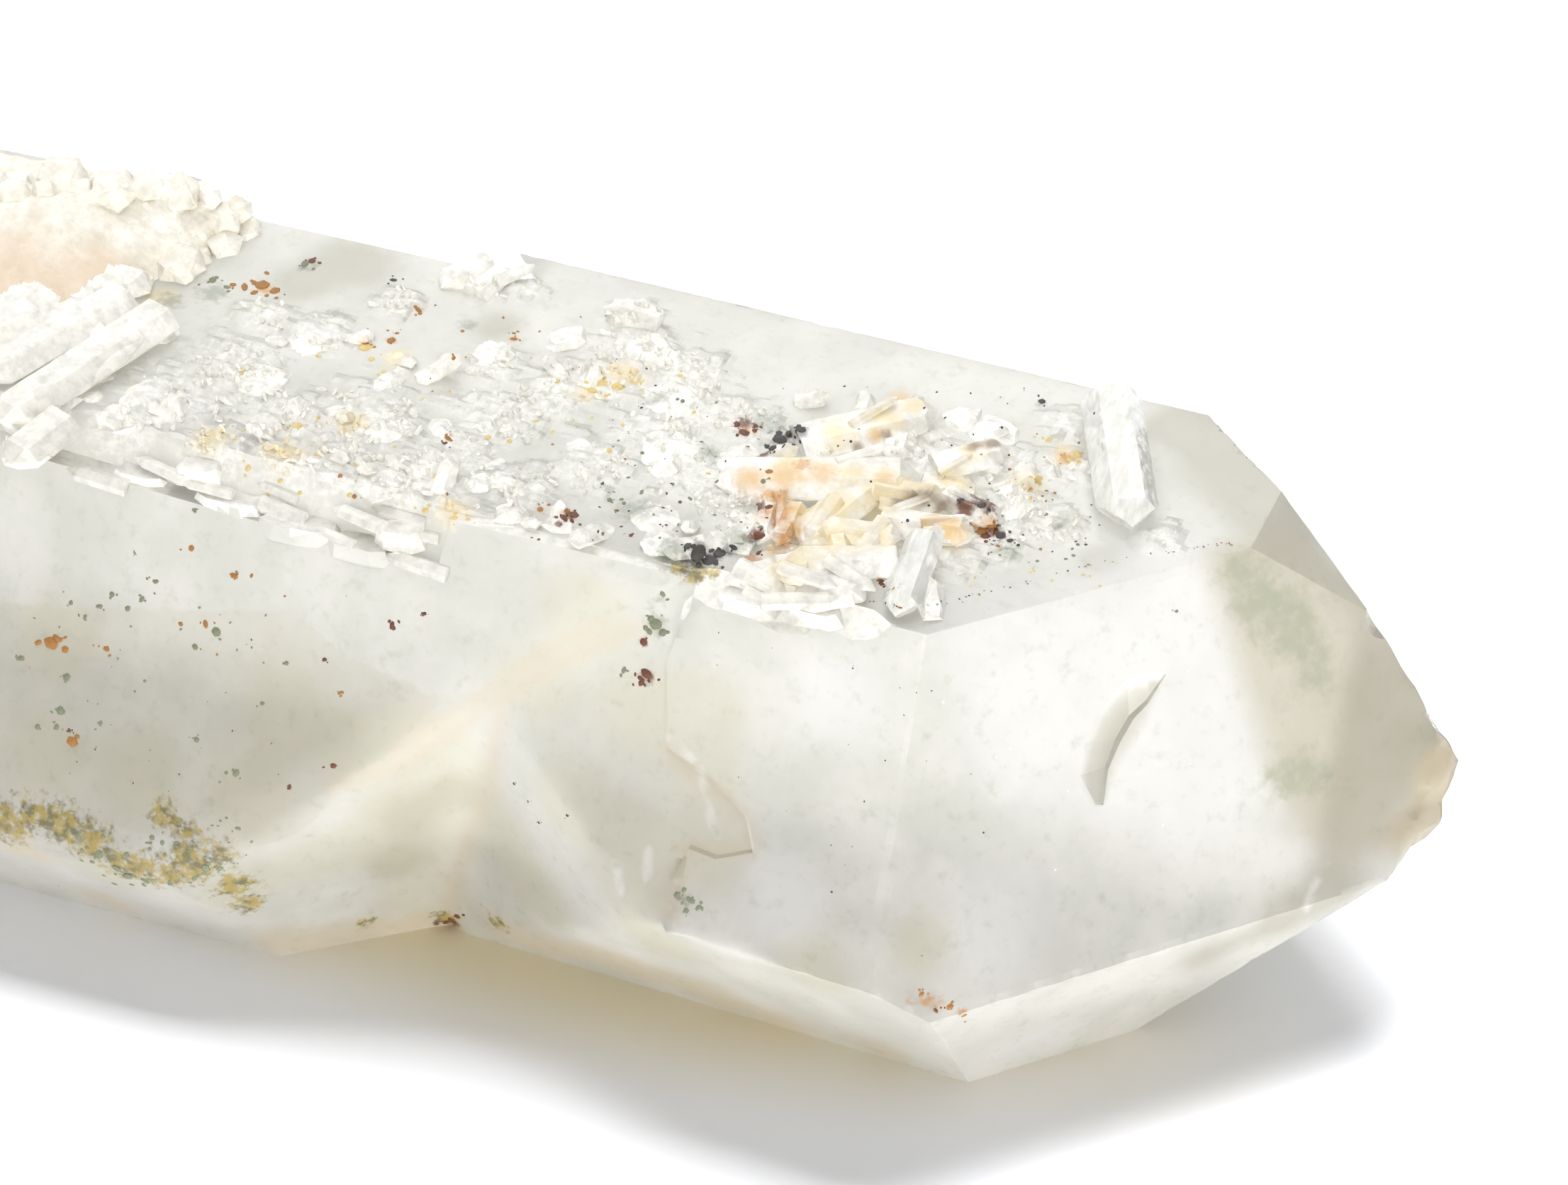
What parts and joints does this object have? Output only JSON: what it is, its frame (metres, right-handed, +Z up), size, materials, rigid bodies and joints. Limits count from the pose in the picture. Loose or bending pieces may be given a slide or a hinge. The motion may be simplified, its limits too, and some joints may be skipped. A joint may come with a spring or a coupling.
{
  "type": "himalayan quartz crystal",
  "caption": "Milky quartz crystal lying on a prism face, pointed at one end, with a parallel side crystal, small crystals, a druse and matrix.",
  "frame": {"origin": "middle of the bounding box's footprint, on the surface that the crystal lies on", "axes": "+X along the crystal towards its pointed end, +Y away from the front, which the side crystal is on, +Z up"},
  "size_m": [0.1224, 0.0502, 0.0419],
  "materials": {
    "quartz": "satin"
  },
  "bodies": {
    "root": {"quartz_crystal": "quartz"}
  },
  "joints": []
}
